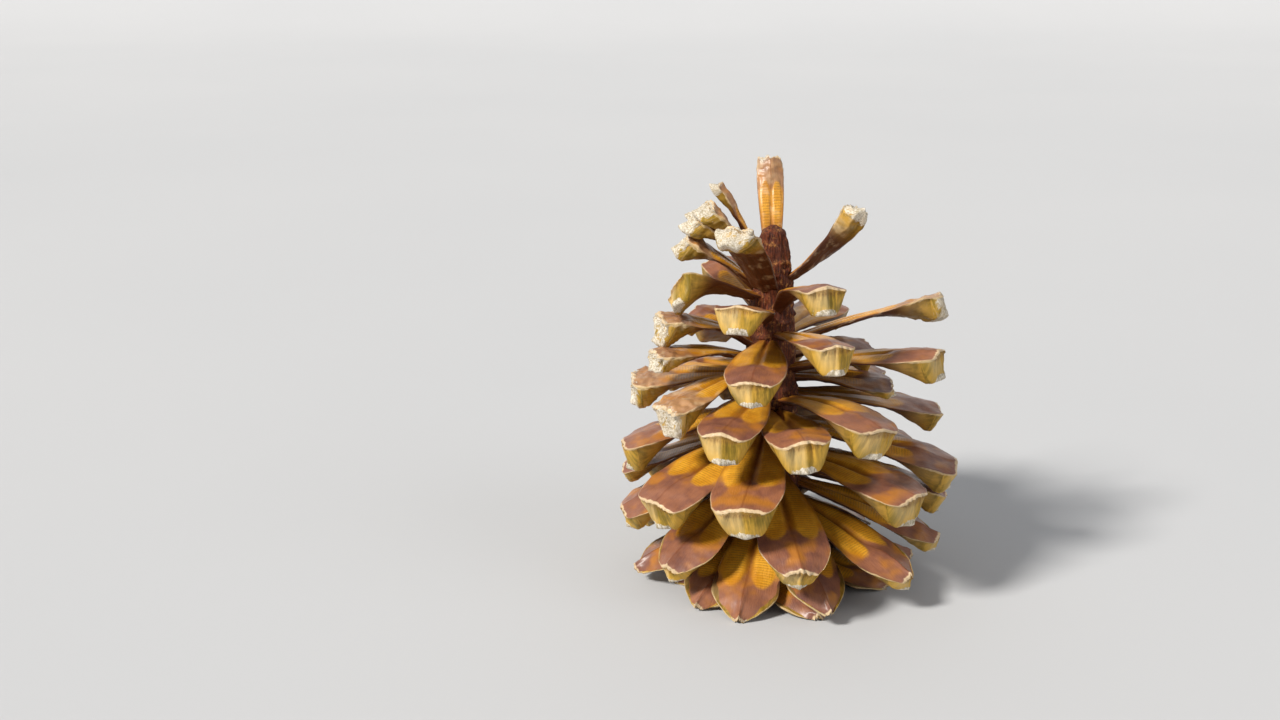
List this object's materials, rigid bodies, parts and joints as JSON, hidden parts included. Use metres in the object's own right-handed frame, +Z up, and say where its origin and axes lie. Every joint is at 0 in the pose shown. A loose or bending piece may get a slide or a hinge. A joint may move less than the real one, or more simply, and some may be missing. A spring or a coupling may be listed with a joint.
{
  "type": "pine cone",
  "caption": "Open pine cone standing on its stalk scar: woody scales on a spiral round a core, each a widening blade with a thick shield and knob at its end.",
  "frame": {"origin": "middle of the flat stalk scar that the cone rests on", "axes": "+Z runs up the core from the scar to the crown; -Y is the front"},
  "size_m": [0.0629, 0.0609, 0.0782],
  "materials": {
    "scales": "semi-gloss woody scale, golden brown blade, paler worn rim and straw shield",
    "core": "dull dark brown wood"
  },
  "bodies": {
    "root": {"core": "core", "scale_05": "scales", "scale_06": "scales", "scale_07": "scales", "scale_08": "scales", "scale_09": "scales", "scale_12": "scales", "scale_13": "scales", "scale_14": "scales", "scale_15": "scales", "scale_16": "scales", "scale_17": "scales", "scale_18": "scales", "scale_19": "scales", "scale_20": "scales", "scale_21": "scales", "scale_22": "scales", "scale_23": "scales", "scale_24": "scales", "scale_25": "scales", "scale_26": "scales", "scale_27": "scales", "scale_28": "scales", "scale_29": "scales", "scale_30": "scales", "scale_31": "scales", "scale_32": "scales", "scale_33": "scales", "scale_36": "scales", "scale_37": "scales", "scale_38": "scales", "scale_41": "scales", "scale_42": "scales", "scale_43": "scales", "scale_44": "scales", "scale_45": "scales", "scale_46": "scales", "scale_47": "scales", "scale_48": "scales", "scale_49": "scales", "scale_50": "scales", "scale_51": "scales", "scale_52": "scales", "scale_53": "scales", "scale_54": "scales", "scale_55": "scales", "scale_56": "scales", "scale_57": "scales", "scale_59": "scales", "scale_61": "scales", "scale_63": "scales", "scale_64": "scales", "scale_66": "scales", "scale_68": "scales", "scale_69": "scales", "scale_71": "scales"}
  },
  "joints": []
}
